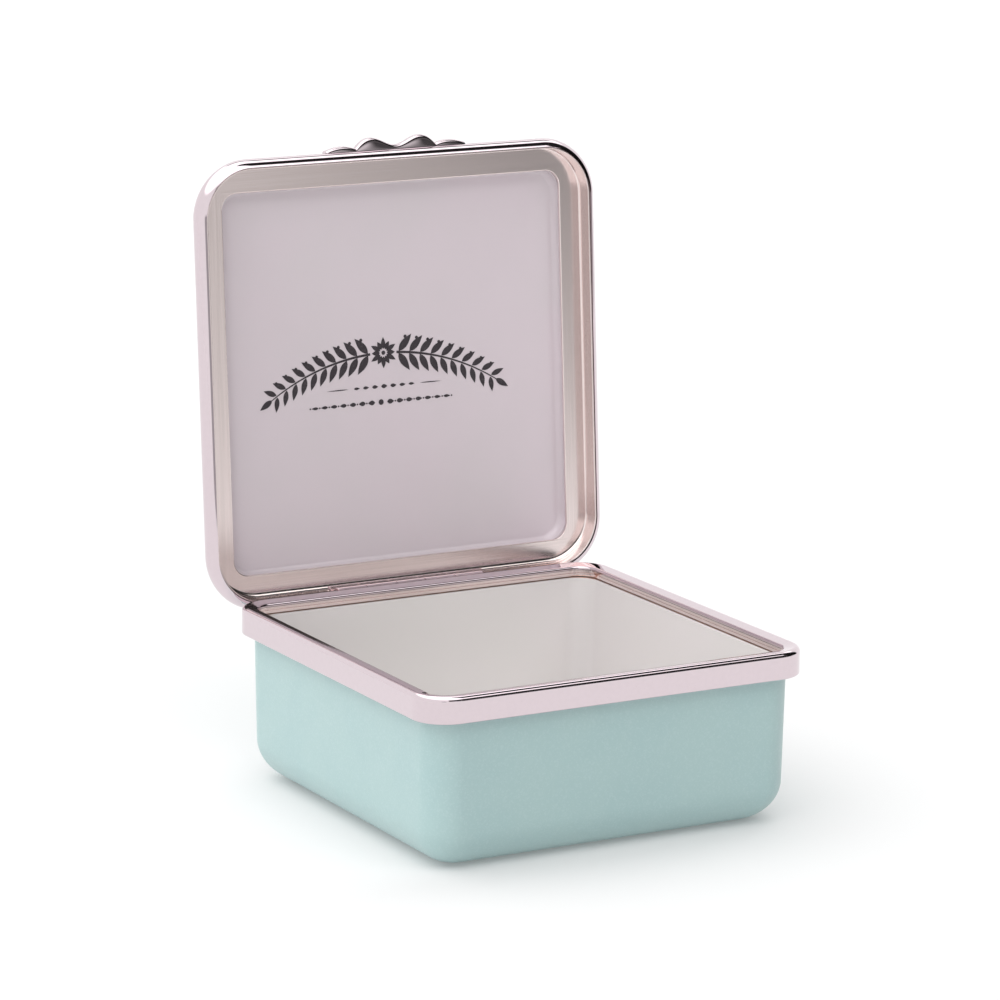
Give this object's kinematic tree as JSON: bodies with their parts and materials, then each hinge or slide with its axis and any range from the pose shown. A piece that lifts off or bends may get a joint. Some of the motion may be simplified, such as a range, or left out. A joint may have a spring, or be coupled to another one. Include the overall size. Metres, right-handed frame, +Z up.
{
  "type": "hinged square powder tin",
  "caption": "Small square hinged box of enamelled metal with plated mounts, a deep tray, a brushed lid frame and a scalloped thumb-piece.",
  "frame": {"origin": "on the ground, at the centre of the base tray's flat foot", "axes": "+X to the right along the hinge line seen from the front, +Y to the back where the hinge is, +Z up; the lid stands open behind the hinge line"},
  "size_m": [0.0648, 0.0707, 0.0894],
  "materials": {
    "turquoise_enamel": "satin",
    "ivory_enamel": "gloss",
    "grey_enamel": "gloss",
    "copper": "plain copper, hidden between the enamel layers",
    "plated_mount": "polished",
    "satin_plate": "brushed"
  },
  "bodies": {
    "base": {"base_outer_enamel": "turquoise_enamel", "base_copper_tray": "copper", "base_inner_enamel": "ivory_enamel", "base_mount_band": "plated_mount", "base_inner_collar": "satin_plate", "base_hinge_leaf": "plated_mount", "base_knuckle_left": "plated_mount", "base_knuckle_centre": "plated_mount", "base_knuckle_right": "plated_mount", "hinge_pin": "plated_mount"},
    "lid": {"lid_mount_bead": "plated_mount", "lid_inner_frame": "satin_plate", "lid_outer_enamel": "turquoise_enamel", "lid_copper_plate": "copper", "lid_inner_enamel": "grey_enamel", "thumb_piece": "plated_mount", "lid_hinge_leaf": "plated_mount", "lid_knuckle_left": "plated_mount", "lid_knuckle_right": "plated_mount"}
  },
  "joints": [
    {"name": "lid_hinge", "type": "hinge", "parent": "base", "child": "lid", "pos_m": [0, 0.03162, 0.02378], "axis": [1, 0, 0], "range_deg": [0, 94.1]}
  ]
}
